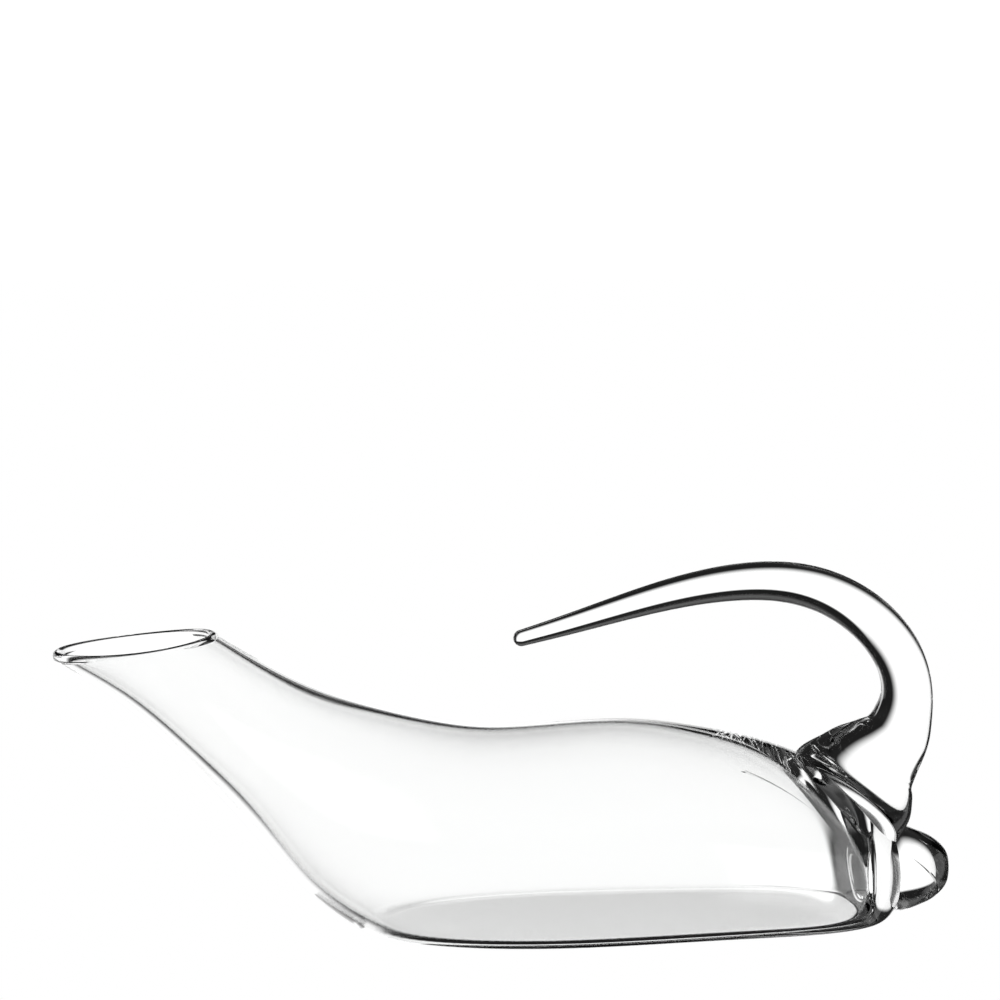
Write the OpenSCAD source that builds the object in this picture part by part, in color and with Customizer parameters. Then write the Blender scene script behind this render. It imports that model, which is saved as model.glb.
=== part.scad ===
// Duck-shaped wine decanter in clear hand-worked glass. A blown bowl lies on its flattened belly,
// with a leaning neck at one end and a solid heel, a tail knob and an arched handle at the other.
// Frame: +Z up, +X towards the tail, Y across, origin under the middle of the overall length.

/* [Overall] */
// Overall length, spout lip to tail knob
length = 350; // [280:10:420]
// Widest width of the belly
belly_w = 102; // [92:1:110]

/* [Bowl wall] */
// Wall along the breast and the front of the neck
wall_front = 4; // [2.5:0.1:5]
// Wall along the middle of the back
wall_back = 2; // [1.5:0.1:2.5]
// Wall at the flanks
wall_side = 2.4; // [1.5:0.1:3.5]
// Thickness of the flat base
wall_floor = 2.8; // [2:0.1:4]
// Height of the fire-polished rim over the cut of the mouth, over the wall's thickness
rim_round = 0.75; // [0.5:0.05:1]
// Blend between the flat base and the flanks
base_blend = 3; // [1:0.5:5]

/* [Tail knob] */
// Length behind the heel
knob_l = 24.5; // [20:0.5:28]
// Width across
knob_w = 36; // [30:1:40]
// Height
knob_h = 34; // [30:1:36]

/* [Handle] */
// Diameter of the pad that the handle stands on
pad_d = 53; // [48:1:56]
// Height of the pad over its axis
pad_h = 8.5; // [6:0.5:10]
// Lean of the pad's axis from upright, towards the tail
pad_lean = 34; // [30:1:38]

/* [Detail] */
// Facets around the bowl
bowl_facets = 44; // [32:4:48]
// Rings along each skin of the bowl
bowl_rings = 35; // [25:1:38]
// Facets around the solid gathers
rod_facets = 24; // [16:4:32]

/* [Hidden] */

glass = [0.86, 0.90, 0.90, 0.55];
design_l = 350;
design_w = 102;
k = length / design_l;
ky = belly_w / design_w;

// Sections of the bowl from the mouth to the heel. Each row is a cut across the body:
// back line x and z, belly line x and z, half width. The belly line dips below the table
// where the base is ground flat.
bowl_sections = [
    [-112.7, 116.3, -174.8, 109.4, 23.2],
    [ -97.5, 106.8, -148.6,  93.0, 23.0],
    [ -83.0,  98.5, -125.3,  69.8, 24.5],
    [ -68.0,  92.0, -104.0,  45.2, 29.5],
    [ -52.0,  87.0,  -83.4,  20.0, 36.0],
    [ -33.0,  82.0,  -59.0,  -0.5, 42.5],
    [ -10.0,  77.5,  -28.0, -13.0, 48.5],
    [  18.0,  79.0,   10.0, -19.0, 51.5],
    [  47.0,  80.5,   45.0, -18.0, 51.0],
    [  75.0,  76.0,   75.0, -17.0, 48.0],
    [ 101.0,  70.2,  100.0, -19.5, 43.5],
    [ 124.0,  60.5,  121.0, -22.5, 37.5],
    [ 140.0,  48.0,  139.0, -15.5, 30.0],
    [ 150.5,  33.2,  150.5,   0.2, 17.5]];

// The cavity follows the sections, less the wall, over these rows. The gains thicken or thin the
// front and the back wall at each row.
front_gain = [1, 1, 0.9, 1.3, 0.7, 1, 1, 1, 1, 1];
back_gain = [1.6, 1.6, 1.5, 1.3, 1.1, 1, 0.9, 0.8, 0.8, 1.2];

// Then the cavity ends bluntly in front of the heel. The last two rows share one x, so that its end
// is a smooth low dome.
cavity_end = [
    [ 99.0, 67.0,  98.5, -15.5, 41.2],
    [118.0, 56.0, 117.0, -17.0, 37.2],
    [133.0, 42.0, 132.0,  -8.0, 31.0],
    [137.5, 30.0, 137.5,   0.0, 25.0],
    [137.5, 17.0, 137.5,  17.0,  0.0]];

// Pad axis: the middle of its seat on the shoulder, and its up direction
pad_at = [135.6, 50.4];
pad_up = [sin(pad_lean), cos(pad_lean)];

// Outline of the pad: height over the seat, half length and half width, from below the seat to the
// top face
pad_profile = [
    [ -16, 26.4, 24.5],
    [ -10, 26.7, 23.0],
    [-6.5, 26.9, 20.7],
    [-3.5, 27.0, 18.2],
    [-0.5, 27.1, 15.8],
    [ 2.5, 26.6, 14.3],
    [ 5.5, 25.1, 13.7],
    [ 8.5, 23.3, 13.3]];
pad_design_h = 8.5;
pad_design_d = 53;
root = pad_profile[len(pad_profile) - 1];

// Path of the handle from the pad's top face: x, z, half thickness, half width
function pad_point(h) = pad_at + h * pad_up;
handle_path = [
    [pad_point(pad_h).x, pad_point(pad_h).y, root[1] * pad_d / pad_design_d, root[2] * pad_d / pad_design_d],
    [142.3,  60.4, 21.0, 13.0],
    [146.1,  63.2, 18.2, 12.7],
    [150.2,  67.0, 15.5, 12.4],
    [153.6,  71.6, 13.5, 11.8],
    [155.7,  78.0, 11.7, 11.0],
    [157.8,  87.5,  9.9,  9.9],
    [155.0, 101.0,  9.7,  9.7],
    [145.6, 114.4,  9.5,  9.5],
    [131.8, 125.0,  9.0,  9.0],
    [115.5, 131.6,  8.3,  8.3],
    [ 98.0, 133.5,  7.6,  7.6],
    [ 79.0, 132.1,  6.9,  6.9],
    [ 59.5, 128.3,  6.0,  6.0],
    [ 40.0, 123.0,  5.0,  5.0],
    [ 20.0, 117.2,  4.0,  4.0],
    [  3.4, 112.9,  3.2,  3.2]];

// Outline of the knob: distance behind the crease, and half height and half width there over the
// largest ones
crease_x = 150.5;
knob_design_l = 24.5;
knob_profile = [
    [   0, 0.90, 0.90], [ 1.5, 1.00, 0.98], [ 4.0, 1.02, 1.00], [ 8.0, 0.96, 0.92],
    [12.0, 0.87, 0.80], [16.0, 0.79, 0.63], [20.5, 0.62, 0.40], [24.5, 0.36, 0.16],
    [24.5, 0.00, 0.00]];
// Height of the knob's axis over its half height at the crease, and the axis's drop to the end
knob_lift = 0.7;
knob_drop = 1.1;

// Point at u on a uniform cubic B-spline through the rows of p, with natural ends
function spline(p, u) =
    let (n = len(p), i = min(floor(u), n - 2), f = u - i,
         a = i == 0 ? 2 * p[0] - p[1] : p[i - 1],
         d = i == n - 2 ? 2 * p[n - 1] - p[n - 2] : p[i + 2])
    (pow(1 - f, 3) * a + (3 * pow(f, 3) - 6 * pow(f, 2) + 4) * p[i]
     + (-3 * pow(f, 3) + 3 * pow(f, 2) + 3 * f + 1) * p[i + 1] + pow(f, 3) * d) / 6;

// z kept at or over a floor, with a blend of the given reach
function kept_over(z, low, reach) =
    z - low > reach ? z : z - low < -reach ? low : low + pow(z - low + reach, 2) / (4 * reach);

// Ring of points on one section of the bowl
function section_ring(s, low) = [for (i = [0:bowl_facets - 1])
    let (a = 360 * i / bowl_facets, t = (1 + cos(a)) / 2)
    [s[2] + (s[0] - s[2]) * t, s[4] * ky * sin(a), kept_over(s[3] + (s[1] - s[3]) * t, low, base_blend)]];

// A bowl section less the wall: front wall at the belly line, back wall at the back line
function hollowed(s, front, rear) =
    let (back = [s[0], s[1]], belly = [s[2], s[3]], dir = (back - belly) / norm(back - belly),
         b = back - rear * wall_back * dir, f = belly + front * wall_front * dir)
    [b.x, b.y, f.x, f.y, s[4] - wall_side];

cavity_sections = concat(
    [for (i = [0:len(back_gain) - 1]) hollowed(bowl_sections[i], front_gain[i], back_gain[i])],
    cavity_end);

// Rings along a table of sections, from row u0 to row u1
function skin_rings(sections, u0, u1, count, low) =
    [for (i = [0:count - 1]) section_ring(spline(sections, u0 + (u1 - u0) * i / (count - 1)), low)];

// Rings that round the rim over from the outer skin to the inner skin
rim_steps = 5;
mouth_up = [-0.35, 0, 0.94];
function rim_rings(outer, inner) = [for (j = [1:rim_steps - 1])
    let (a = 180 * j / rim_steps)
    [for (i = [0:bowl_facets - 1])
        let (across = outer[i] - inner[i])
        (outer[i] + inner[i]) / 2 + across / 2 * cos(a) + rim_round * norm(across) * sin(a) * mouth_up]];

last_row = len(bowl_sections) - 1;
last_cavity_row = len(cavity_sections) - 1;
// Rows between the last ring of the cavity and its tip
tip_rows = 0.12;
outer_rings = skin_rings(bowl_sections, last_row, 0, bowl_rings, 0);
cavity_rings = skin_rings(cavity_sections, 0, last_cavity_row - tip_rows, bowl_rings, wall_floor);
heel_face = [crease_x, 0, (bowl_sections[last_row][1] + bowl_sections[last_row][3]) / 2];
cavity_tip = [cavity_sections[last_cavity_row][0], 0, cavity_sections[last_cavity_row][1]];

// Closed solid through equal rings, with each end fanned to an apex point
module loft(rings, first, last) {
    m = len(rings[0]);
    n = len(rings);
    points = concat([for (r = rings) each r], [first, last]);
    side = [for (i = [0:n - 2]) for (j = [0:m - 1]) let (j2 = (j + 1) % m)
        each [[i * m + j, (i + 1) * m + j, (i + 1) * m + j2], [i * m + j, (i + 1) * m + j2, i * m + j2]]];
    start_fan = [for (j = [0:m - 1]) [n * m, j, (j + 1) % m]];
    end_fan = [for (j = [0:m - 1]) [n * m + 1, (n - 1) * m + (j + 1) % m, (n - 1) * m + j]];
    polyhedron(points, concat(side, start_fan, end_fan), convexity = 8);
}

// Outer form of the bowl as a solid, which the pad is seated on
module bowl_form() {
    mouth_mid = [(bowl_sections[0][0] + bowl_sections[0][2]) / 2, 0,
                 (bowl_sections[0][1] + bowl_sections[0][3]) / 2];
    loft(outer_rings, heel_face, mouth_mid);
}

module bowl() {
    rim = rim_rings(outer_rings[bowl_rings - 1], cavity_rings[0]);
    color(glass) scale(k) loft(concat(outer_rings, rim, cavity_rings), heel_face, cavity_tip);
}

// Height of the knob's axis at a distance behind the crease
function knob_z(d) = knob_h / 2 + knob_lift - knob_drop * d / knob_design_l;

// Form of the knob: a swell over the crease, then a long taper to a round end
module knob_form() {
    last = len(knob_profile) - 1;
    per_row = 3;
    rings = [for (i = [0:last * per_row - 1])
        let (p = spline(knob_profile, i / per_row))
        [for (j = [0:rod_facets - 1])
            let (b = 360 * j / rod_facets)
            [crease_x + p[0] * knob_l / knob_design_l, -knob_w / 2 * p[2] * sin(b),
             knob_z(p[0]) + knob_h / 2 * p[1] * cos(b)]]];
    loft(rings, [crease_x, 0, knob_z(0)], [crease_x + knob_l, 0, knob_z(knob_design_l)]);
}

// Solid bullet behind the heel
module tail_knob() {
    color(glass) scale(k) knob_form();
}

// Ring across the pad's axis at height h with half length r and half width w
function pad_ring(h, r, w) = [for (j = [0:2 * rod_facets - 1])
    let (b = 180 * j / rod_facets, c = pad_at + h * pad_up + r * cos(b) * [pad_up.y, -pad_up.x])
    [c.x, w * sin(b), c.y]];

// Thick disc of glass on the rear shoulder. The resize changes nothing but makes one mesh of the
// trimmed disc, so that its underside copies the bowl and the knob facet by facet.
module handle_pad() {
    wide = pad_d / pad_design_d;
    rings = [for (p = pad_profile) pad_ring(p[0] * pad_h / pad_design_h, p[1] * wide, p[2] * wide)];
    low = pad_point(pad_profile[0][0] * pad_h / pad_design_h);
    top = pad_point(pad_h);
    color(glass) scale(k) resize([0, 0, 0]) difference() {
        loft(rings, [low.x, 0, low.y], [top.x, 0, top.y]);
        bowl_form();
        knob_form();
    }
}

// Rows before the tip where the path's last direction is read
end_step = 0.02;

// Direction of the handle's path at u, turning from the pad's axis over the first rows
turn_rows = 4;
function path_dir(u) =
    let (step = 0.01, d = spline(handle_path, u + step) - spline(handle_path, max(u - step, 0)),
         t = min(u / turn_rows, 1), along = [d[0], d[1]] / norm([d[0], d[1]]),
         mixed = (1 - t) * pad_up + t * along)
    mixed / norm(mixed);

// Ring across the handle: centre c, direction d, half thickness r, half width w
function rod_ring(c, d, r, w) = [for (j = [0:rod_facets - 1])
    let (b = 360 * j / rod_facets)
    [c.x + r * cos(b) * d.y, w * sin(b), c.y - r * cos(b) * d.x]];

// Tapered solid rod, drawn up from its flared root, over and forward to a round free tip
module handle() {
    rows = len(handle_path) - 1;
    per_row = 4;
    last = rows * per_row;
    body = [for (i = [0:last])
        let (u = i / per_row, p = spline(handle_path, u), d = path_dir(min(u, rows - end_step)))
        rod_ring([p[0], p[1]], d, p[2], p[3])];
    tip = handle_path[rows];
    end_dir = path_dir(rows - end_step);
    dome = [for (a = [22.5, 45, 67.5])
        let (c = [tip[0], tip[1]] + tip[2] * sin(a) * end_dir)
        rod_ring(c, end_dir, tip[2] * cos(a), tip[3] * cos(a))];
    foot = pad_point(pad_h);
    end = [tip[0], tip[1]] + tip[2] * end_dir;
    color(glass) scale(k) loft(concat(body, dome), [foot.x, 0, foot.y], [end.x, 0, end.y]);
}

bowl();
tail_knob();
handle_pad();
handle();
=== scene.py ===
"""Duck-shaped wine decanter in clear hand-worked glass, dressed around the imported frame.

Four gathers of glass make it: the blown bowl, the tail knob, the handle's pad and the handle.
The tables hold millimetres of the 350 mm design, and DesignScale turns them into metres.
"""

from __future__ import annotations

import logging
import math
from collections.abc import Callable
from dataclasses import dataclass, field
from enum import Enum

import bpy
import numpy as np
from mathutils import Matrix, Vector

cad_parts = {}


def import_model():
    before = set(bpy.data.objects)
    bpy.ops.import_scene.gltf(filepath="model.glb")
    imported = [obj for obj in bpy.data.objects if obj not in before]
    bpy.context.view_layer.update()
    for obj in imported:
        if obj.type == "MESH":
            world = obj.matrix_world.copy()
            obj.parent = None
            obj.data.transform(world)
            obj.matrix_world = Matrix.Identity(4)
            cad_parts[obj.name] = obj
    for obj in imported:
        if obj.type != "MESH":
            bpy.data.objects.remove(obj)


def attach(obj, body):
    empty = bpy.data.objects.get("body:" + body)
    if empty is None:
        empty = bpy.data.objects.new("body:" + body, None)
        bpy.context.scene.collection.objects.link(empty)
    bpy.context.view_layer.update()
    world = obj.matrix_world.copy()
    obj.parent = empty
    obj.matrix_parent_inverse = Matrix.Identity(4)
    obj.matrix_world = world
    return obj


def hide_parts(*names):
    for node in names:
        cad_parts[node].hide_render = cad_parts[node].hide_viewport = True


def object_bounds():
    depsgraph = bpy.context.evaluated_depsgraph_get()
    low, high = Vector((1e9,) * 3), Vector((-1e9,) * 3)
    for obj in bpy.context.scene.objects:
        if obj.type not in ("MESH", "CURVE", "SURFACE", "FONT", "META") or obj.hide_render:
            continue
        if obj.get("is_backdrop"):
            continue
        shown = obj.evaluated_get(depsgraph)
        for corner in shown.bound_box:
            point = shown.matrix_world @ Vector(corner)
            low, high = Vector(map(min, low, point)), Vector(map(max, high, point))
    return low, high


LOG = logging.getLogger("decanter")
BODY = "root"
# Creases sharper than this stay sharp
CREASE_ANGLE = math.radians(25)
# Points read along a profile's curve where it is looked up by height or distance
CURVE_POINTS = 400
# A distance in the design's millimetres that is past every surface
FAR = 100.0


# ---------------------------------------------------------------- shader maths


class Wire:
    """One node socket, so that shader maths reads as an expression."""

    def __init__(self, graph: Graph, socket: bpy.types.NodeSocket) -> None:
        """Keeps the socket and the graph it belongs to."""
        self.graph = graph
        self.socket = socket

    def __add__(self, other: Wire | float) -> Wire:
        """Sum of two values."""
        return self.graph.maths("ADD", self, other)

    def __sub__(self, other: Wire | float) -> Wire:
        """This value less the other."""
        return self.graph.maths("SUBTRACT", self, other)

    def __rsub__(self, other: float) -> Wire:
        """A number less this value."""
        return self.graph.maths("SUBTRACT", other, self)

    def __mul__(self, other: Wire | float) -> Wire:
        """Product of two values."""
        return self.graph.maths("MULTIPLY", self, other)

    __radd__ = __add__
    __rmul__ = __mul__


class Graph:
    """A node tree that is built with expressions on its sockets."""

    def __init__(self, tree: bpy.types.NodeTree) -> None:
        """Starts from an empty tree."""
        self.tree = tree
        tree.nodes.clear()

    def node(
        self, kind: str, settings: dict[str, object] | None = None, inputs: dict[str | int, object] | None = None
    ) -> bpy.types.Node:
        """Adds one node.

        Args:
            kind: The node's type name.
            settings: Its own settings, such as an operation. They are set first.
            inputs: A number, a colour or a Wire for each socket, by name or by place.

        Returns:
            The node.
        """
        made = self.tree.nodes.new(kind)
        for key, value in (settings or {}).items():
            if key == "ramp":
                self._set_ramp(made, value)
            else:
                setattr(made, key, value)
        for key, value in (inputs or {}).items():
            if isinstance(value, Wire):
                self.tree.links.new(value.socket, made.inputs[key])
            else:
                made.inputs[key].default_value = value
        return made

    @staticmethod
    def _set_ramp(ramp_node: bpy.types.Node, stops: tuple[tuple[float, float], ...]) -> None:
        """Gives a ramp its grey stops, each a place from 0 to 1 and a brightness."""
        elements = ramp_node.color_ramp.elements
        while len(elements) < len(stops):
            elements.new(0.5)
        for element, (place, grey) in zip(elements, stops, strict=True):
            element.position = place
            element.color = (grey, grey, grey, 1.0)

    def wire(self, made: bpy.types.Node, output: str | int = 0) -> Wire:
        """The given output of a node."""
        return Wire(self, made.outputs[output])

    def maths(self, operation: str, *values: Wire | float) -> Wire:
        """A Math node on one or two values."""
        return self.wire(self.node("ShaderNodeMath", {"operation": operation}, dict(enumerate(values))))

    def rise(self, value: Wire, start: float, end: float) -> Wire:
        """A smooth step: 0 below start, 1 above end."""
        inputs = {"Value": value, "From Min": start, "From Max": end}
        return self.wire(self.node("ShaderNodeMapRange", {"interpolation_type": "SMOOTHSTEP"}, inputs))


# ---------------------------------------------------------------- finishes


@dataclass(frozen=True)
class ClearGlass:
    """Clear soda glass, worked hot: almost colourless, fire-polished and a little wavy."""

    name: str = "clear_glass"
    ior: float = 1.5
    tint: tuple[float, float, float] = (0.992, 0.995, 0.993)
    wave_length: float = 0.035
    wave_height: float = 0.00006

    def material(self) -> bpy.types.Material:
        """Makes the glass, with slow hand-worked waves as a bump.

        Returns:
            The material.
        """
        made = bpy.data.materials.new(self.name)
        made.use_nodes = True
        graph = Graph(made.node_tree)
        place = graph.wire(graph.node("ShaderNodeTexCoord"), "Object")
        waves = graph.node(
            "ShaderNodeTexNoise",
            {"noise_dimensions": "3D"},
            {"Vector": place, "Scale": 1 / self.wave_length, "Detail": 1.0, "Roughness": 0.4},
        )
        bump = graph.node(
            "ShaderNodeBump",
            None,
            {"Height": graph.wire(waves), "Distance": self.wave_height, "Strength": 1.0},
        )
        surface = graph.node(
            "ShaderNodeBsdfPrincipled",
            None,
            {
                "Base Color": (*self.tint, 1.0),
                "Roughness": 0.0,
                "IOR": self.ior,
                "Transmission Weight": 1.0,
                "Normal": graph.wire(bump, "Normal"),
            },
        )
        graph.node("ShaderNodeOutputMaterial", None, {"Surface": graph.wire(surface)})
        return made


@dataclass(frozen=True)
class FusedSeam:
    """Where two gathers were joined hot there is no surface between them, so a seam shows nothing."""

    name: str = "fused_seam"

    def material(self) -> bpy.types.Material:
        """Makes the seam, which light passes straight through.

        Returns:
            The material.
        """
        made = bpy.data.materials.new(self.name)
        made.use_nodes = True
        graph = Graph(made.node_tree)
        surface = graph.node("ShaderNodeBsdfPrincipled", None, {"Base Color": (1.0, 1.0, 1.0, 1.0), "Alpha": 0.0})
        graph.node("ShaderNodeOutputMaterial", None, {"Surface": graph.wire(surface)})
        return made


# ---------------------------------------------------------------- surfaces


class Face(Enum):
    """What a face of a gather is. The value is its place in the piece's list of materials."""

    SKIN = 0
    SEAM = 1


def spline(rows: np.ndarray, u: np.ndarray) -> np.ndarray:
    """Points on the uniform cubic B-spline of a table's rows, with natural ends.

    Each point is the sum of four neighbouring rows weighed by the cubic basis, and a phantom row past
    each end carries the end's slope on, so that the curve starts and stops on the table's own ends.

    Args:
        rows: The table, one row of numbers for each knot.
        u: Places along it, from 0 at the first row.

    Returns:
        One row of numbers for each place.
    """
    padded = np.vstack([2 * rows[0] - rows[1], rows, 2 * rows[-1] - rows[-2]])
    first = np.clip(np.floor(u).astype(int), 0, len(rows) - 2)
    f = (u - first)[..., None]
    return (
        (1 - f) ** 3 * padded[first]
        + (3 * f**3 - 6 * f**2 + 4) * padded[first + 1]
        + (-3 * f**3 + 3 * f**2 + 3 * f + 1) * padded[first + 2]
        + f**3 * padded[first + 3]
    ) / 6


def curve_points(rows: np.ndarray) -> np.ndarray:
    """Close points along the whole spline of a table, one array for each column."""
    return spline(rows, np.linspace(0, len(rows) - 1, CURVE_POINTS)).T


def kept_over(z: np.ndarray, low: float, reach: float) -> np.ndarray:
    """Heights kept at or over low. Within reach of it a parabola blends the two."""
    over = z - low
    blend = low + (over + reach) ** 2 / (4 * reach)
    return np.where(over > reach, z, np.where(over < -reach, low, blend))


@dataclass(frozen=True)
class DesignScale:
    """Turns the design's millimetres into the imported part's metres."""

    metres_per_unit: float
    design_length: float = 350.0

    @classmethod
    def of_part(cls, low: Vector, high: Vector) -> DesignScale:
        """Reads the scale from the part's length along X."""
        return cls((high[0] - low[0]) / cls.design_length)

    def metres(self, points: np.ndarray) -> np.ndarray:
        """The design's points in metres."""
        return points * self.metres_per_unit


class Surface:
    """A closed surface, gathered from rings of points and from fans that close them."""

    def __init__(self) -> None:
        """Starts empty."""
        self.points: list[np.ndarray] = []
        self.faces: dict[int, list[np.ndarray]] = {4: [], 3: []}
        self.kinds: dict[int, list[np.ndarray]] = {4: [], 3: []}
        self.count = 0

    def add_points(self, points: np.ndarray) -> np.ndarray:
        """Adds points of any grid shape and returns their numbers in that shape."""
        flat = points.reshape(-1, 3)
        self.points.append(flat)
        numbers = np.arange(self.count, self.count + len(flat)).reshape(points.shape[:-1])
        self.count += len(flat)
        return numbers

    def add_faces(self, corners: np.ndarray, seam: np.ndarray | bool = False) -> None:
        """Adds faces.

        Args:
            corners: The points of each face, three or four to a row.
            seam: True where a face is a seam.
        """
        sides = corners.shape[-1]
        corners = corners.reshape(-1, sides)
        kinds = np.where(np.broadcast_to(seam, len(corners)), Face.SEAM.value, Face.SKIN.value)
        self.faces[sides].append(corners)
        self.kinds[sides].append(kinds)

    def add_tube(self, rings: np.ndarray, seam: bool = False) -> None:
        """Adds the faces between rings that follow each other, given by their point numbers."""
        self.add_faces(cells(rings), seam)

    def add_fan(self, ring: np.ndarray, centre: np.ndarray, seam: bool = False) -> None:
        """Closes a ring with triangles to a point.

        Args:
            ring: Point numbers round the ring, in the order that the tube leaves it.
            centre: The point's place.
            seam: True if the fan is a seam.
        """
        apex = np.full(len(ring), self.add_points(centre[None])[0])
        self.add_faces(np.stack([ring, np.roll(ring, -1), apex], -1), seam)

    def build(self, name: str, scale: DesignScale, finishes: dict[Face, bpy.types.Material]) -> bpy.types.Object:
        """Makes the surface one object with smooth faces that point outwards.

        The signed volume, a sixth of the sum of each triangle's corner product, tells which way they point.

        Args:
            name: The object's name.
            scale: From the design's units to metres.
            finishes: The material of each kind of face.

        Returns:
            The object, at the origin.
        """
        points = scale.metres(np.vstack(self.points))
        quads, triangles = (np.vstack(self.faces[sides]) for sides in (4, 3))
        kinds = np.concatenate(self.kinds[4] + self.kinds[3])
        halves = np.vstack([quads[:, [0, 1, 2]], quads[:, [0, 2, 3]], triangles])
        a, b, c = (points[halves[:, i]] for i in range(3))
        if np.einsum("ij,ij->", a, np.cross(b, c)) < 0:
            quads, triangles = quads[:, ::-1], triangles[:, ::-1]
        mesh = bpy.data.meshes.new(name)
        mesh.from_pydata(points.tolist(), [], quads.tolist() + triangles.tolist())
        mesh.polygons.foreach_set("material_index", kinds.astype(np.int32))
        mesh.polygons.foreach_set("use_smooth", np.ones(len(kinds), dtype=bool))
        for kind in Face:
            mesh.materials.append(finishes[kind])
        mesh.update()
        mesh.set_sharp_from_angle(angle=CREASE_ANGLE)
        made = bpy.data.objects.new(name, mesh)
        bpy.context.scene.collection.objects.link(made)
        return made


def cells(rings: np.ndarray) -> np.ndarray:
    """The four corners of each cell between rings that follow each other, closed round the ring."""
    here, there = rings[:-1], rings[1:]
    return np.stack([here, there, np.roll(there, -1, 1), np.roll(here, -1, 1)], -1)


def split_by_outline(
    rings: np.ndarray, side: np.ndarray
) -> tuple[np.ndarray, np.ndarray, np.ndarray, np.ndarray]:
    """Parts a grid's cells along an outline that runs through some of its points.

    A cell with corners on both sides is cut into two triangles along the diagonal on the outline.

    Args:
        rings: Point numbers of the grid.
        side: For each point, -1 inside the outline, 0 on it and 1 outside.

    Returns:
        Whole cells, which of them are inside, triangles, and which of those are inside.
    """
    corners = cells(rings).reshape(-1, 4)
    sides = cells(side).reshape(-1, 4)
    mixed = (sides.min(1) < 0) & (sides.max(1) > 0)
    first_way = (sides[:, 0] == 0) & (sides[:, 2] == 0)
    one = np.where(first_way[:, None], [0, 1, 2], [0, 1, 3])
    two = np.where(first_way[:, None], [0, 2, 3], [1, 2, 3])
    halves = np.vstack([one[mixed], two[mixed]])
    triangles = np.take_along_axis(np.vstack([corners[mixed]] * 2), halves, 1)
    triangle_sides = np.take_along_axis(np.vstack([sides[mixed]] * 2), halves, 1)
    return corners[~mixed], sides[~mixed].sum(1) < 0, triangles, triangle_sides.sum(1) < 0


def fit_to_outline(
    surface: Callable[[np.ndarray, np.ndarray], np.ndarray],
    u: np.ndarray,
    a: np.ndarray,
    outline: Callable[[np.ndarray], np.ndarray],
) -> tuple[np.ndarray, np.ndarray, np.ndarray]:
    """Moves the points of a surface's grid that are nearest to an outline on to it.

    Newton's rule, the outline's distance over its slope, gives each point's way to the outline in cells of
    the grid. A point less than half a cell away takes it.

    Args:
        surface: A function from u and a to places.
        u: The grid's places along the surface.
        a: The grid's places round it.
        outline: A function from places to a distance, negative inside.

    Returns:
        The moved u and a, and for each point -1 inside, 0 on and 1 outside the outline.
    """
    cell_u, cell_a = u[1, 0] - u[0, 0], a[0, 1] - a[0, 0]
    small, half_cell, newton_rounds = 0.01, 0.5, 3
    near = None
    for _ in range(newton_rounds):
        off = outline(surface(u, a))
        slope_u = (outline(surface(u + small * cell_u, a)) - off) / small
        slope_a = (outline(surface(u, a + small * cell_a)) - off) / small
        steep = np.maximum(slope_u**2 + slope_a**2, 1e-9)
        if near is None:
            near = np.abs(off) / np.sqrt(steep) < half_cell
            near[0] = False
            side = np.where(near, 0, np.where(off < 0, -1, 1))
        u = u - np.where(near, off * slope_u / steep * cell_u, 0)
        a = a - np.where(near, off * slope_a / steep * cell_a, 0)
    return u, a, side


# ---------------------------------------------------------------- the gathers


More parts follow.
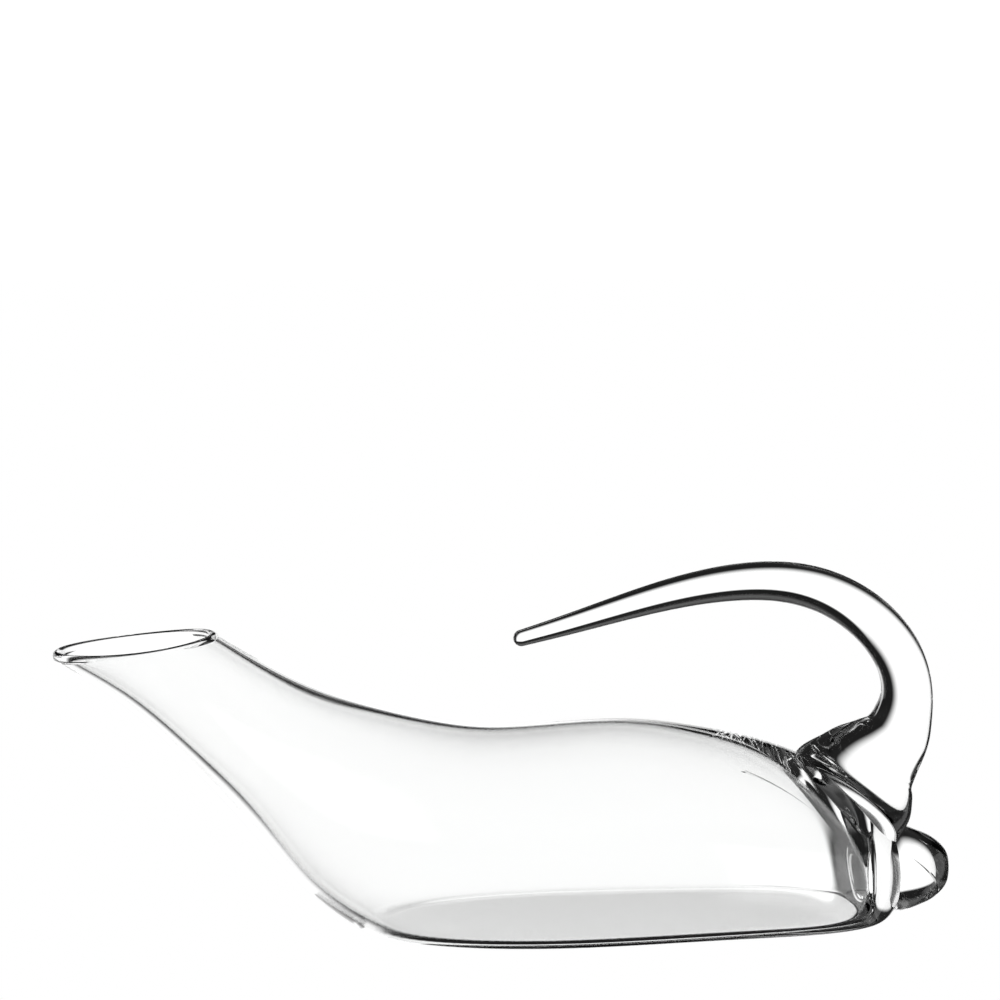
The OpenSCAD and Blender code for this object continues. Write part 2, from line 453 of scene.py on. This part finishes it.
@dataclass
class Bowl:
    """The blown body: belly, leaning neck and oval mouth, with a thick solid heel."""

    name: str = "blown_bowl"
    node: str = "bowl"
    # Cuts from the mouth to the heel: back line x and z, belly line x and z, half width
    sections: np.ndarray = field(
        default_factory=lambda: np.array(
            [
                [-112.7, 116.3, -174.8, 109.4, 23.2],
                [-97.5, 106.8, -148.6, 93.0, 23.0],
                [-83.0, 98.5, -125.3, 69.8, 24.5],
                [-68.0, 92.0, -104.0, 45.2, 29.5],
                [-52.0, 87.0, -83.4, 20.0, 36.0],
                [-33.0, 82.0, -59.0, -0.5, 42.5],
                [-10.0, 77.5, -28.0, -13.0, 48.5],
                [18.0, 79.0, 10.0, -19.0, 51.5],
                [47.0, 80.5, 45.0, -18.0, 51.0],
                [75.0, 76.0, 75.0, -17.0, 48.0],
                [101.0, 70.2, 100.0, -19.5, 43.5],
                [124.0, 60.5, 121.0, -22.5, 37.5],
                [140.0, 48.0, 139.0, -15.5, 30.0],
                [150.5, 33.2, 150.5, 0.2, 17.5],
            ]
        )
    )
    # The end of the cavity, which rounds off in front of the heel
    cavity_end: np.ndarray = field(
        default_factory=lambda: np.array(
            [
                [99.0, 67.0, 98.5, -15.5, 41.2],
                [118.0, 56.0, 117.0, -17.0, 37.2],
                [133.0, 42.0, 132.0, -8.0, 31.0],
                [137.5, 30.0, 137.5, 0.0, 25.0],
                [137.5, 17.0, 137.5, 17.0, 0.0],
            ]
        )
    )
    wall_front: float = 4.0
    wall_back: float = 2.0
    # Walls at each section that the cavity follows, over wall_front and wall_back
    front_gain: np.ndarray = field(
        default_factory=lambda: np.array([1.0, 1.0, 0.9, 1.3, 0.7, 1.0, 1.0, 1.0, 1.0, 1.0])
    )
    back_gain: np.ndarray = field(
        default_factory=lambda: np.array([1.6, 1.6, 1.5, 1.3, 1.1, 1.0, 0.9, 0.8, 0.8, 1.2])
    )
    wall_side: float = 2.4
    wall_floor: float = 2.8
    base_blend: float = 3.0
    rim_round: float = 0.75
    mouth_up: np.ndarray = field(default_factory=lambda: np.array([-0.35, 0.0, 0.94]))
    around: int = 256
    outer_rings: int = 170
    cavity_rings: int = 150
    # Rows between the cavity's last ring and its tip
    tip_rows: float = 0.02
    rim_rings: int = 14

    def section(self, rows: np.ndarray, u: np.ndarray, a: np.ndarray, low: float) -> np.ndarray:
        """Points of a skin.

        Across, a point is the half width times sin a. Along and up, it runs from the belly line to the back
        line as (1 + cos a) / 2, and it is kept over the given height.

        Args:
            rows: The skin's sections.
            u: Places along them.
            a: Angles round them, 0 at the back line.
            low: The height that the skin stays over.

        Returns:
            The points.
        """
        back_x, back_z, belly_x, belly_z, half = np.moveaxis(spline(rows, u), -1, 0)
        t = (1 + np.cos(a)) / 2
        z = kept_over(belly_z + (back_z - belly_z) * t, low, self.base_blend)
        return np.stack([belly_x + (back_x - belly_x) * t, half * np.sin(a), z], -1)

    def outer(self, u: np.ndarray, a: np.ndarray) -> np.ndarray:
        """Points of the outer skin."""
        return self.section(self.sections, u, a, 0.0)

    @property
    def cavity_sections(self) -> np.ndarray:
        """The sections less the wall, as far as the shoulder, then the cavity's own end."""
        rows = self.sections[: len(self.back_gain)]
        back, belly = rows[:, 0:2], rows[:, 2:4]
        way = (back - belly) / np.linalg.norm(back - belly, axis=1, keepdims=True)
        back_wall = self.wall_back * self.back_gain[:, None]
        front_wall = self.wall_front * self.front_gain[:, None]
        inner = [back - back_wall * way, belly + front_wall * way, rows[:, 4:] - self.wall_side]
        return np.vstack([np.hstack(inner), self.cavity_end])

    def rim(self, outer: np.ndarray, inner: np.ndarray) -> np.ndarray:
        """Rings that round the rim over.

        Each is the middle of the two rings, plus half their difference times cos t, plus the wall's
        thickness times sin t along the mouth's up direction.

        Args:
            outer: The outer skin's last ring.
            inner: The cavity's first ring.

        Returns:
            The rings between them.
        """
        t = np.linspace(0, np.pi, self.rim_rings + 2)[1:-1, None, None]
        across = outer - inner
        thick = np.linalg.norm(across, axis=-1, keepdims=True)
        return (outer + inner) / 2 + across / 2 * np.cos(t) + self.rim_round * thick * np.sin(t) * self.mouth_up

    def surface(self, pad: HandlePad, knob: TailKnob) -> Surface:
        """Builds the closed skin, with seams where the pad and the knob are fused on.

        Args:
            pad: The pad on the shoulder.
            knob: The knob behind the heel.

        Returns:
            The surface.
        """
        made = Surface()
        angles = np.arange(self.around) * 2 * np.pi / self.around
        last = len(self.sections) - 1
        u, a = np.meshgrid(np.linspace(last, 0, self.outer_rings), angles, indexing="ij")
        u, a, side = fit_to_outline(self.outer, u, a, pad.outline)
        outer = self.outer(u, a)
        outer_ids = made.add_points(outer)
        whole, whole_in, cut, cut_in = split_by_outline(outer_ids, side)
        made.add_faces(whole, whole_in)
        made.add_faces(cut, cut_in)

        rows = self.cavity_sections
        end = len(rows) - 1
        places = np.linspace(0, end - self.tip_rows, self.cavity_rings)
        cavity = self.section(rows, *np.meshgrid(places, angles, indexing="ij"), self.wall_floor)
        cavity_ids = made.add_points(cavity)
        rim_ids = made.add_points(self.rim(outer[-1], cavity[0]))
        made.add_tube(np.vstack([outer_ids[-1:], rim_ids, cavity_ids]))
        tip = np.array([rows[-1][0], 0.0, rows[-1][1]])
        made.add_fan(cavity_ids[-1][::-1], tip)

        crease_ids = made.add_points(knob.crease_ring(angles))
        heel = np.stack([crease_ids, outer_ids[0]])
        made.add_tube(heel)
        made.add_fan(crease_ids, knob.crease_centre, seam=True)
        return made


@dataclass
class TailKnob:
    """The solid bullet behind the heel."""

    name: str = "tail_bullet"
    node: str = "tail_knob"
    crease_x: float = 150.5
    # Distance behind the crease, and half height and half width there over the largest ones
    profile: np.ndarray = field(
        default_factory=lambda: np.array(
            [
                [0.0, 0.9, 0.9],
                [1.5, 1.0, 0.98],
                [4.0, 1.02, 1.0],
                [8.0, 0.96, 0.92],
                [12.0, 0.87, 0.8],
                [16.0, 0.79, 0.63],
                [20.5, 0.62, 0.4],
                [24.5, 0.36, 0.16],
                [24.5, 0.0, 0.0],
            ]
        )
    )
    width: float = 36.0
    height: float = 34.0
    axis_z: float = 17.7
    drop: float = 1.1
    around: int = 128
    rings: int = 112

    @property
    def length(self) -> float:
        """How far the knob reaches behind the crease."""
        return float(self.profile[-1, 0])

    def centre_z(self, distance: np.ndarray) -> np.ndarray:
        """Height of the knob's axis, which drops steadily behind the crease."""
        return self.axis_z - self.drop * distance / self.length

    def skin(self, u: np.ndarray, b: np.ndarray) -> np.ndarray:
        """Points of the skin, from places along the profile and angles round it."""
        distance, tall, wide = np.moveaxis(spline(self.profile, u), -1, 0)
        z = self.centre_z(distance) + self.height / 2 * tall * np.cos(b)
        return np.stack([self.crease_x + distance, self.width / 2 * wide * np.sin(b), z], -1)

    def crease_ring(self, b: np.ndarray) -> np.ndarray:
        """Points of the crease, where the knob meets the heel."""
        return self.skin(np.zeros_like(b), b)

    @property
    def crease_centre(self) -> np.ndarray:
        """Middle of the seam with the heel."""
        return np.array([self.crease_x, 0.0, self.axis_z])

    def shape(self, points: np.ndarray) -> np.ndarray:
        """The knob's equation: under 1 inside its skin, and 1 on it."""
        x, y, z = np.moveaxis(points, -1, 0)
        distances, talls, wides = curve_points(self.profile)
        distance = x - self.crease_x
        least = 0.01
        tall, wide = (np.maximum(np.interp(distance, distances, sizes), least) for sizes in (talls, wides))
        up = (z - self.centre_z(distance)) / (self.height / 2)
        return (y / (self.width / 2) / wide) ** 2 + (up / tall) ** 2

    def surface(self, pad: HandlePad) -> Surface:
        """Builds the closed skin, with seams on the heel and under the pad."""
        made = Surface()
        angles = np.arange(self.around) * 2 * np.pi / self.around
        steps = np.linspace(0, len(self.profile) - 1, self.rings + 1)[:-1]
        a, b = np.meshgrid(steps, angles, indexing="ij")
        a, b, side = fit_to_outline(self.skin, a, b, pad.outline)
        ids = made.add_points(self.skin(a, b))
        whole, whole_in, cut, cut_in = split_by_outline(ids, side)
        made.add_faces(whole, whole_in)
        made.add_faces(cut, cut_in)
        made.add_fan(ids[0], self.crease_centre, seam=True)
        tip = np.array([self.crease_x + self.length, 0.0, self.axis_z - self.drop])
        made.add_fan(ids[-1][::-1], tip)
        return made


@dataclass
class HandlePad:
    """The thick disc of glass on the rear shoulder, which the handle is drawn from."""

    name: str = "shoulder_pad"
    node: str = "handle_pad"
    seat_x: float = 135.6
    seat_z: float = 50.4
    lean: float = math.radians(34)
    # Height over the seat, half length and half width, from below the seat to the top face
    profile: np.ndarray = field(
        default_factory=lambda: np.array(
            [
                [-16.0, 26.4, 24.5],
                [-10.0, 26.7, 23.0],
                [-6.5, 26.9, 20.7],
                [-3.5, 27.0, 18.2],
                [-0.5, 27.1, 15.8],
                [2.5, 26.6, 14.3],
                [5.5, 25.1, 13.7],
                [8.5, 23.3, 13.3],
            ]
        )
    )
    around: int = 192
    side_rings: int = 24
    under_rings: int = 28

    @property
    def seat(self) -> np.ndarray:
        """Middle of the seat on the shoulder."""
        return np.array([self.seat_x, 0.0, self.seat_z])

    @property
    def up(self) -> np.ndarray:
        """The pad's axis."""
        return np.array([math.sin(self.lean), 0.0, math.cos(self.lean)])

    @property
    def along(self) -> np.ndarray:
        """The way across the axis, towards the tail."""
        return np.array([math.cos(self.lean), 0.0, -math.sin(self.lean)])

    @property
    def top(self) -> float:
        """Height of the top face."""
        return float(self.profile[-1, 0])

    @property
    def lowest(self) -> float:
        """Height of the outline's low end."""
        return float(self.profile[0, 0])

    def size_at(self, height: np.ndarray) -> tuple[np.ndarray, np.ndarray]:
        """Half length and half width of the side at a height."""
        heights, lengths, widths = curve_points(self.profile)
        return np.interp(height, heights, lengths), np.interp(height, heights, widths)

    def outline(self, points: np.ndarray) -> np.ndarray:
        """Distance of points from the pad's side, about square to its axis: negative inside."""
        offset = points - self.seat
        height, across = offset @ self.up, offset @ self.along
        length, width = self.size_at(height)
        out = (np.hypot(across / length, offset[..., 1] / width) - 1) * length
        return np.where(height < self.lowest, FAR, out)

    def place(self, across: np.ndarray, y: np.ndarray, height: np.ndarray) -> np.ndarray:
        """Points from their places across the axis, along Y and up the axis."""
        points = self.seat + across[..., None] * self.along + height[..., None] * self.up
        points[..., 1] += y
        return points

    def height_on_bowl(self, bowl: Bowl, across: np.ndarray, y: np.ndarray) -> np.ndarray:
        """Height up the axis where a line along it meets the bowl, or a low one where it misses.

        Newton's rule finds u and a where the skin has the line's two places across the axis. It starts
        from the nearest point of a coarse table over the shoulder.

        Args:
            bowl: The bowl.
            across: The line's place towards the tail.
            y: The line's place along Y.

        Returns:
            The height of each line's meeting.
        """
        last = len(bowl.sections) - 1
        table_u, table_a = np.meshgrid(np.linspace(8.5, last, 60), np.linspace(-1.5, 1.5, 61), indexing="ij")
        offset = bowl.outer(table_u, table_a) - self.seat
        flat = np.stack([(offset @ self.along).ravel(), offset[..., 1].ravel()], -1)
        apart = np.hypot(flat[:, 0] - across.reshape(-1, 1), flat[:, 1] - y.reshape(-1, 1))
        start = apart.argmin(1)
        u, a = table_u.ravel()[start].reshape(across.shape), table_a.ravel()[start].reshape(across.shape)
        small = 1e-4
        for _ in range(12):
            point = bowl.outer(u, a) - self.seat
            by_u = (bowl.outer(u + small, a) - self.seat - point) / small
            by_a = (bowl.outer(u, a + small) - self.seat - point) / small
            miss_1, miss_2 = across - point @ self.along, y - point[..., 1]
            u1, u2, a1, a2 = by_u @ self.along, by_u[..., 1], by_a @ self.along, by_a[..., 1]
            whole = u1 * a2 - u2 * a1
            whole = np.where(np.abs(whole) < 1e-6, 1e-6, whole)
            u = np.clip(u + np.clip((miss_1 * a2 - miss_2 * a1) / whole, -0.5, 0.5), 7, last + 0.5)
            a = np.clip(a + np.clip((miss_2 * u1 - miss_1 * u2) / whole, -0.3, 0.3), -2.2, 2.2)
        met = (u <= last) & (np.hypot(miss_1, miss_2) < 0.01)
        return np.where(met, (bowl.outer(u, a) - self.seat) @ self.up, -FAR)

    def height_on_knob(self, knob: TailKnob, across: np.ndarray, y: np.ndarray) -> np.ndarray:
        """Height up the axis where a line along it first meets the knob, or a low one where it misses."""
        height = np.full(across.shape, self.top)
        small = 1e-4
        for _ in range(40):
            value = knob.shape(self.place(across, y, height)) - 1
            slope = (knob.shape(self.place(across, y, height + small)) - 1 - value) / small
            height = height - np.clip(value / np.maximum(slope, 1e-3), -4, 4)
        point = self.place(across, y, height)
        met = (np.abs(knob.shape(point) - 1) < 1e-3) & (point[..., 0] >= knob.crease_x)
        return np.where(met, height, -FAR)

    def height_on_heel(self, bowl: Bowl, knob: TailKnob, across: np.ndarray, y: np.ndarray) -> np.ndarray:
        """Height up the axis where a line along it meets the heel's flat end, or a low one where it misses."""
        height = (knob.crease_x - self.seat_x - across * self.along[0]) / self.up[0]
        z = self.seat_z + height * self.up[2] + across * self.along[2]
        _, back_z, _, belly_z, half = bowl.sections[-1]
        middle, half_z = (back_z + belly_z) / 2, (back_z - belly_z) / 2
        met = (y / half) ** 2 + ((z - middle) / half_z) ** 2 < 1
        return np.where(met, height, -FAR)

    def seat_height(self, bowl: Bowl, knob: TailKnob, across: np.ndarray, y: np.ndarray) -> np.ndarray:
        """Height up the axis of the glass that the pad is pressed on to."""
        on_bowl = self.height_on_bowl(bowl, across, y)
        on_knob = self.height_on_knob(knob, across, y)
        on_heel = self.height_on_heel(bowl, knob, across, y)
        return np.maximum(np.maximum(on_bowl, on_knob), np.maximum(on_heel, self.lowest))

    def surface(self, bowl: Bowl, knob: TailKnob) -> Surface:
        """Builds the pad: the side down to the seat, and seams on the seat and on the top face.

        A ring of the side is an ellipse across the axis, with the outline's size at its height. The
        underside is a disc of spokes, dropped along the axis on to the glass below.

        Args:
            bowl: The bowl under it.
            knob: The knob under its rear edge.

        Returns:
            The surface.
        """
        angles = np.arange(self.around) * 2 * np.pi / self.around
        edge = np.zeros(self.around)
        for _ in range(6):
            length, width = self.size_at(edge)
            edge = self.seat_height(bowl, knob, length * np.cos(angles), width * np.sin(angles))
        steps = np.linspace(0, 1, self.side_rings)[:, None]
        height = edge + (self.top - edge) * steps
        length, width = self.size_at(height)
        side = self.place(length * np.cos(angles), width * np.sin(angles), height)
        made = Surface()
        side_ids = made.add_points(side)
        made.add_tube(side_ids)
        made.add_fan(side_ids[-1][::-1], self.seat + self.top * self.up, seam=True)

        spokes = np.linspace(0, 1, self.under_rings + 1)[1:-1, None]
        across, y = length[0] * np.cos(angles) * spokes, width[0] * np.sin(angles) * spokes
        under_ids = made.add_points(self.place(across, y, self.seat_height(bowl, knob, across, y)))
        made.add_tube(np.vstack([under_ids, side_ids[:1]]), seam=True)
        middle = np.zeros(1)
        low = self.place(middle, middle, self.seat_height(bowl, knob, middle, middle))[0]
        made.add_fan(under_ids[0], low, seam=True)
        return made


@dataclass
class Handle:
    """The tapered rod, drawn up from the pad, over and forward to a round free tip."""

    pad: HandlePad
    name: str = "drawn_handle"
    node: str = "handle"
    # Path from the flared root on: x, z, half thickness, half width
    path: np.ndarray = field(
        default_factory=lambda: np.array(
            [
                [142.3, 60.4, 21.0, 13.0],
                [146.1, 63.2, 18.2, 12.7],
                [150.2, 67.0, 15.5, 12.4],
                [153.6, 71.6, 13.5, 11.8],
                [155.7, 78.0, 11.7, 11.0],
                [157.8, 87.5, 9.9, 9.9],
                [155.0, 101.0, 9.7, 9.7],
                [145.6, 114.4, 9.5, 9.5],
                [131.8, 125.0, 9.0, 9.0],
                [115.5, 131.6, 8.3, 8.3],
                [98.0, 133.5, 7.6, 7.6],
                [79.0, 132.1, 6.9, 6.9],
                [59.5, 128.3, 6.0, 6.0],
                [40.0, 123.0, 5.0, 5.0],
                [20.0, 117.2, 4.0, 4.0],
                [3.4, 112.9, 3.2, 3.2],
            ]
        )
    )
    # Rows over which the rod turns from the pad's axis to its own way
    turn_rows: float = 4.0
    around: int = 96
    rings: int = 300
    dome_rings: int = 16

    @property
    def rows(self) -> np.ndarray:
        """The whole path: the root on the pad, then the rod."""
        top = self.pad.seat + self.pad.top * self.pad.up
        root = [top[0], top[2], *self.pad.profile[-1, 1:]]
        return np.vstack([root, self.path])

    def direction(self, rows: np.ndarray, u: np.ndarray) -> np.ndarray:
        """Direction of the rod at u: from the pad's axis at the root to the path's own over the first rows."""
        small = 0.01
        way = (spline(rows, u + small) - spline(rows, np.maximum(u - small, 0)))[..., :2]
        way /= np.linalg.norm(way, axis=-1, keepdims=True)
        turn = np.minimum(u / self.turn_rows, 1)[..., None]
        mixed = (1 - turn) * self.pad.up[[0, 2]] + turn * way
        return mixed / np.linalg.norm(mixed, axis=-1, keepdims=True)

    def ring(self, centre: np.ndarray, way: np.ndarray, size: np.ndarray) -> np.ndarray:
        """Rings across the rod: an ellipse of half thickness and half width, square to the way along it."""
        b = np.arange(self.around) * 2 * np.pi / self.around
        across = size[:, :1] * np.cos(b)
        x = centre[:, :1] + across * way[:, 1:]
        z = centre[:, 1:] - across * way[:, :1]
        return np.stack([x, size[:, 1:] * np.sin(b), z], -1)

    def surface(self) -> Surface:
        """Builds the rod with its dome, and a seam on the pad."""
        rows = self.rows
        end = len(rows) - 1
        u = np.linspace(0, end, self.rings)
        line = spline(rows, u)
        end_step = 0.02
        way = self.direction(rows, np.minimum(u, end - end_step))
        body = self.ring(line[:, :2], way, line[:, 2:])
        bend = np.linspace(0, np.pi / 2, self.dome_rings + 1)[1:-1, None]
        tip, end_way = line[-1], way[-1:]
        centres = tip[:2] + tip[2] * np.sin(bend) * end_way
        dome = self.ring(centres, np.repeat(end_way, len(bend), 0), tip[2:] * np.cos(bend))
        made = Surface()
        ids = made.add_points(np.vstack([body, dome]))
        made.add_tube(ids)
        root = self.pad.seat + self.pad.top * self.pad.up
        made.add_fan(ids[0], root, seam=True)
        front = tip[:2] + tip[2] * end_way[0]
        made.add_fan(ids[-1][::-1], np.array([front[0], 0.0, front[1]]))
        return made


# ---------------------------------------------------------------- the studio


@dataclass
class Studio:
    """A pale seamless table, a bright field of soft light behind, and the camera."""

    aim: tuple[float, float, float] = (-0.00481, 0.00076, 0.1664)
    back_off: tuple[float, float, float] = (-0.18162, -1.1467, 0.1335)
    lens: float = 110.0
    sensor: float = 36.0
    floor_gap: float = 0.0003
    floor_radius: float = 6.0
    floor_sides: int = 64
    # The bright field: its light, its reach in degrees to each way, and where its soft edge runs
    field_light: float = 1.17
    reach_left: float = 60.0
    reach_right: float = 39.0
    reach_below: float = 44.0
    field_edge: tuple[float, float] = (0.75, 1.12)
    field_top: tuple[float, float] = (7.5, 11.0)
    # Cards, in degrees round the object, and the rise over which their lower edge fades
    front_card: tuple[float, float] = (118.0, 152.0)
    right_card: tuple[float, float] = (68.0, 90.0)
    right_card_share: float = 0.6
    card_bottom: tuple[float, float] = (-46.0, -37.0)
    # Soft greys overhead: place from straight down to straight up, and brightness
    overhead: tuple[tuple[float, float], ...] = (
        (0.0, 0.012),
        (0.62, 0.012),
        (0.67, 0.12),
        (0.74, 0.09),
        (0.8, 0.04),
        (1.0, 0.03),
    )

    def camera(self) -> bpy.types.Object:
        """Places the camera.

        Returns:
            The camera, which is made the scene's own.
        """
        data = bpy.data.cameras.new("camera")
        data.lens, data.sensor_width = self.lens, self.sensor
        made = bpy.data.objects.new("camera", data)
        aim, off = Vector(self.aim), Vector(self.back_off)
        made.location = aim + off
        made.rotation_euler = (-off).to_track_quat("-Z", "Y").to_euler()
        bpy.context.scene.collection.objects.link(made)
        bpy.context.scene.camera = made
        return made

    def floor(self) -> bpy.types.Object:
        """Makes the table top, a disc of even white that only the camera sees directly.

        Returns:
            The disc.
        """
        turn = np.arange(self.floor_sides) * 2 * np.pi / self.floor_sides
        ring = np.stack([np.cos(turn), np.sin(turn)], -1) * self.floor_radius
        points = np.column_stack([ring, np.full(len(ring), -self.floor_gap)])
        mesh = bpy.data.meshes.new("table_top")
        mesh.from_pydata(points.tolist(), [], [list(range(len(ring)))])
        made = bpy.data.objects.new("table_top", mesh)
        bpy.context.scene.collection.objects.link(made)
        material = bpy.data.materials.new("white_table")
        material.use_nodes = True
        graph = Graph(material.node_tree)
        light = graph.node("ShaderNodeEmission", None, {"Color": (1.0, 1.0, 1.0, 1.0), "Strength": 1.0})
        graph.node("ShaderNodeOutputMaterial", None, {"Surface": graph.wire(light)})
        mesh.materials.append(material)
        for ray in ("diffuse", "glossy", "transmission", "shadow"):
            setattr(made, f"visible_{ray}", False)
        return made

    @staticmethod
    def band(graph: Graph, turn: Wire, start: float, end: float) -> Wire:
        """1 between two directions round the object, with soft edges inside them."""
        soft = 6.0
        return graph.rise(turn, start, start + soft) * (1 - graph.rise(turn, end - soft, end))

    def world(self) -> None:
        """Makes the light that the glass gathers, by its direction.

        A low white field stands behind, from steep looks down to just over the horizon. Its edge is an
        ellipse below the horizon, wider to the left than to the right: away is the hypotenuse of the way
        down and the way across, each over its reach. A bright card stands in front on the right and a
        weaker one beside it. All else is dark, with soft greys overhead.
        """
        world = bpy.data.worlds.new("studio")
        bpy.context.scene.world = world
        world.use_nodes = True
        graph = Graph(world.node_tree)
        place = graph.wire(graph.node("ShaderNodeTexCoord"), "Generated")
        way = graph.node("ShaderNodeSeparateXYZ", None, {0: place})
        x, y, z = (graph.wire(way, axis) for axis in "XYZ")
        degrees = math.degrees(1)
        rise = graph.maths("ARCSINE", z) * degrees
        turn = graph.maths("ARCTAN2", x, y) * degrees
        below = graph.maths("MAXIMUM", rise * (-1 / self.reach_below), 0.0)
        beside = graph.maths("MAXIMUM", turn * (-1 / self.reach_left), turn * (1 / self.reach_right))
        away = graph.maths("SQRT", below * below + beside * beside)
        field_shape = 1 - graph.rise(away, *self.field_edge)
        right_card = self.band(graph, turn, *self.right_card) * self.right_card_share
        cards = graph.maths("MAXIMUM", self.band(graph, turn, *self.front_card), right_card)
        cards = cards * graph.rise(rise, *self.card_bottom)
        under = 1 - graph.rise(rise, *self.field_top)
        bright = under * graph.maths("MAXIMUM", field_shape, cards) * self.field_light
        upward = (rise + 90) * (1 / 180)
        overhead = graph.node("ShaderNodeValToRGB", {"ramp": self.overhead}, {0: upward})
        glass_sees = graph.maths("MAXIMUM", bright, graph.wire(overhead))
        camera_ray = graph.wire(graph.node("ShaderNodeLightPath"), "Is Camera Ray")
        strength = graph.maths("MAXIMUM", glass_sees, camera_ray)
        back = graph.node("ShaderNodeBackground", None, {"Color": (1.0, 1.0, 1.0, 1.0), "Strength": strength})
        graph.node("ShaderNodeOutputWorld", None, {"Surface": graph.wire(back)})

    def build(self) -> None:
        """Sets up the whole studio."""
        self.camera()
        self.floor()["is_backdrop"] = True
        self.world()
        scene = bpy.context.scene
        scene.view_settings.view_transform = "Standard"
        scene.cycles.max_bounces = 40
        scene.cycles.transmission_bounces = 40
        scene.cycles.glossy_bounces = 24
        scene.cycles.transparent_max_bounces = 40


# ---------------------------------------------------------------- the decanter


def main() -> None:
    """Builds the gathers in order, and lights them."""
    logging.basicConfig(level=logging.INFO, format="%(message)s")
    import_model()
    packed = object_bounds()
    scale = DesignScale.of_part(*packed)
    finishes = {Face.SKIN: ClearGlass().material(), Face.SEAM: FusedSeam().material()}
    bowl, knob, pad = Bowl(), TailKnob(), HandlePad()
    handle = Handle(pad)
    surfaces = [
        (bowl, bowl.surface(pad, knob)),
        (knob, knob.surface(pad)),
        (pad, pad.surface(bowl, knob)),
        (handle, handle.surface()),
    ]
    for gather, surface in surfaces:
        piece = surface.build(gather.name, scale, finishes)
        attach(piece, BODY)
        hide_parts(gather.node)
        LOG.info("%s: %d points, %d faces", gather.name, len(piece.data.vertices), len(piece.data.polygons))
    Studio().build()


if __name__ == "__main__":
    main()
